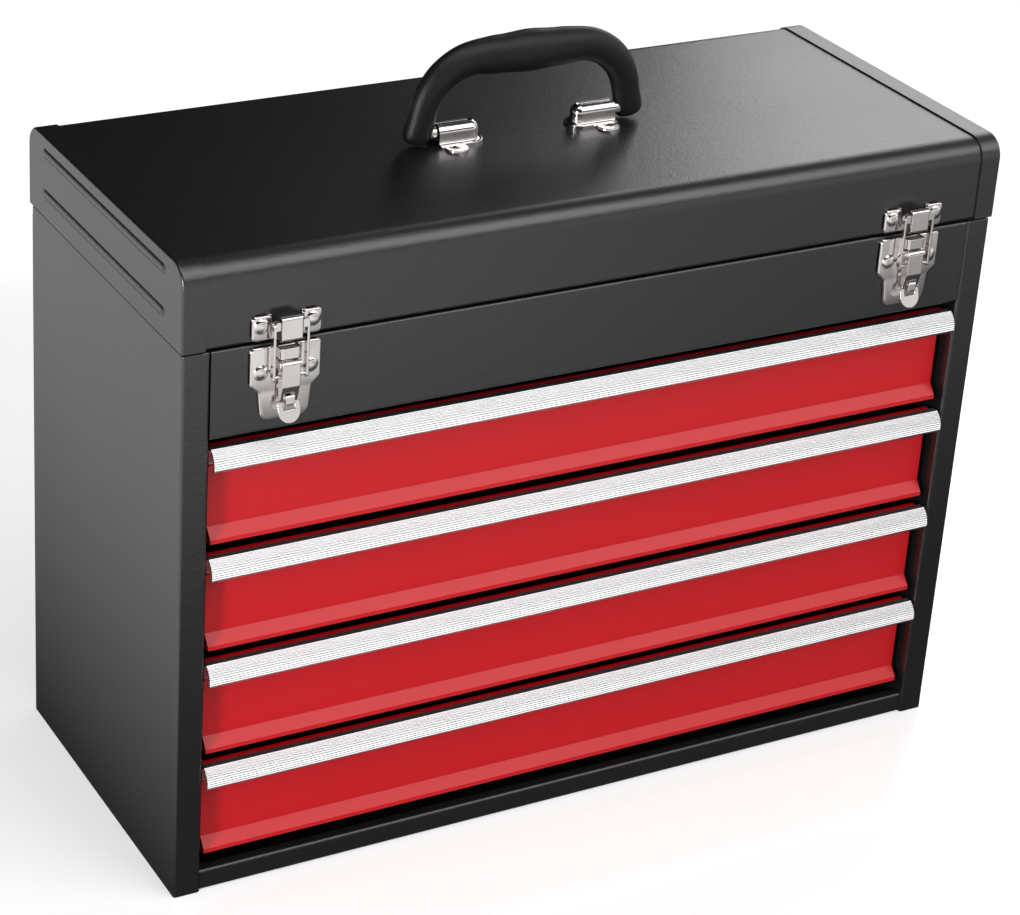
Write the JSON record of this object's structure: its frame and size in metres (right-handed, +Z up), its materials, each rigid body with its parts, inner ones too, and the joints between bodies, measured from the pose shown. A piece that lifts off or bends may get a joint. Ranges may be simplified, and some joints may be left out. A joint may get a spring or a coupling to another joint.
{
  "type": "portable tool box with drawers",
  "caption": "Portable steel tool box: hinged lid with folding handle and two draw latches over a top compartment and a stack of sliding drawers with ribbed pulls.",
  "frame": {"origin": "centre of the base's underside", "axes": "+X along the width to the viewer's right when facing the drawers, +Y from the drawers to the back, +Z up"},
  "size_m": [0.5242, 0.2305, 0.4532],
  "materials": {
    "cabinet_paint": "black fine-textured powder coat, low gloss",
    "front_paint": "red satin paint",
    "tray_paint": "black satin paint",
    "pull_metal": "ribbed, bright satin anodised",
    "slide_steel": "zinc-plated, dull",
    "plated_steel": "bright nickel plate",
    "grip_plastic": "black, fine-grained, soft"
  },
  "bodies": {
    "cabinet": {"side_panel_left": "cabinet_paint", "side_panel_right": "cabinet_paint", "upper_front_panel": "cabinet_paint", "base_pan": "cabinet_paint", "back_panel": "cabinet_paint", "compartment_floor": "cabinet_paint", "slide_rails_left": "slide_steel", "slide_rails_right": "slide_steel", "hinge_leaf_lower": "cabinet_paint", "hinge_rivets_lower": "plated_steel", "latch_base_left": "plated_steel", "latch_base_right": "plated_steel", "latch_pin_left": "plated_steel", "latch_pin_right": "plated_steel", "latch_base_rivets": "plated_steel"},
    "lid": {"lid_panel": "cabinet_paint", "lid_cap_left": "cabinet_paint", "lid_cap_right": "cabinet_paint", "hinge_leaf_upper": "cabinet_paint", "hinge_pin": "plated_steel", "hinge_rivets_upper": "plated_steel", "latch_strike_left": "plated_steel", "latch_strike_right": "plated_steel", "strike_rivets": "plated_steel", "handle_bracket_left": "plated_steel", "handle_bracket_right": "plated_steel", "bracket_rivets": "plated_steel"},
    "handle": {"handle_grip": "grip_plastic", "handle_core": "plated_steel"},
    "drawer_1": {"drawer_1_front": "front_paint", "drawer_1_pull": "pull_metal", "drawer_1_tray": "tray_paint", "drawer_1_slides": "slide_steel"},
    "drawer_2": {"drawer_2_front": "front_paint", "drawer_2_pull": "pull_metal", "drawer_2_tray": "tray_paint", "drawer_2_slides": "slide_steel"},
    "drawer_3": {"drawer_3_front": "front_paint", "drawer_3_pull": "pull_metal", "drawer_3_tray": "tray_paint", "drawer_3_slides": "slide_steel"},
    "drawer_4": {"drawer_4_front": "front_paint", "drawer_4_pull": "pull_metal", "drawer_4_tray": "tray_paint", "drawer_4_slides": "slide_steel"},
    "latch_lever_body_left": {"latch_lever_left": "plated_steel"},
    "latch_bail_body_left": {"latch_bail_left": "plated_steel"},
    "latch_lever_body_right": {"latch_lever_right": "plated_steel"},
    "latch_bail_body_right": {"latch_bail_right": "plated_steel"}
  },
  "joints": [
    {"name": "lid_hinge", "type": "hinge", "parent": "cabinet", "child": "lid", "pos_m": [0, 0.1066, 0.3396], "axis": [-1, 0, 0], "range_deg": [0, 100]},
    {"name": "handle_swing", "type": "hinge", "parent": "lid", "child": "handle", "pos_m": [0, 0, 0.3981], "axis": [1, 0, 0], "range_deg": [-82, 82]},
    {"name": "drawer_1_slide", "type": "slide", "parent": "cabinet", "child": "drawer_1", "axis": [0, -1, 0], "range_m": [0, 0.15]},
    {"name": "drawer_2_slide", "type": "slide", "parent": "cabinet", "child": "drawer_2", "axis": [0, -1, 0], "range_m": [0, 0.15]},
    {"name": "drawer_3_slide", "type": "slide", "parent": "cabinet", "child": "drawer_3", "axis": [0, -1, 0], "range_m": [0, 0.15]},
    {"name": "drawer_4_slide", "type": "slide", "parent": "cabinet", "child": "drawer_4", "axis": [0, -1, 0], "range_m": [0, 0.15]},
    {"name": "latch_lever_turn_left", "type": "hinge", "parent": "cabinet", "child": "latch_lever_body_left", "pos_m": [-0.2015, -0.1163, 0.3295], "axis": [-1, 0, 0], "range_deg": [0, 115]},
    {"name": "latch_bail_turn_left", "type": "hinge", "parent": "latch_lever_body_left", "child": "latch_bail_body_left", "pos_m": [-0.2015, -0.1163, 0.3232], "axis": [-1, 0, 0], "range_deg": [-115, 0]},
    {"name": "latch_lever_turn_right", "type": "hinge", "parent": "cabinet", "child": "latch_lever_body_right", "pos_m": [0.2015, -0.1163, 0.3295], "axis": [-1, 0, 0], "range_deg": [0, 115]},
    {"name": "latch_bail_turn_right", "type": "hinge", "parent": "latch_lever_body_right", "child": "latch_bail_body_right", "pos_m": [0.2015, -0.1163, 0.3232], "axis": [-1, 0, 0], "range_deg": [-115, 0]}
  ],
  "couplings": [
    {"joint": "latch_bail_turn_left", "follows": "latch_lever_turn_left", "ratio": -1},
    {"joint": "latch_bail_turn_right", "follows": "latch_lever_turn_right", "ratio": -1}
  ]
}
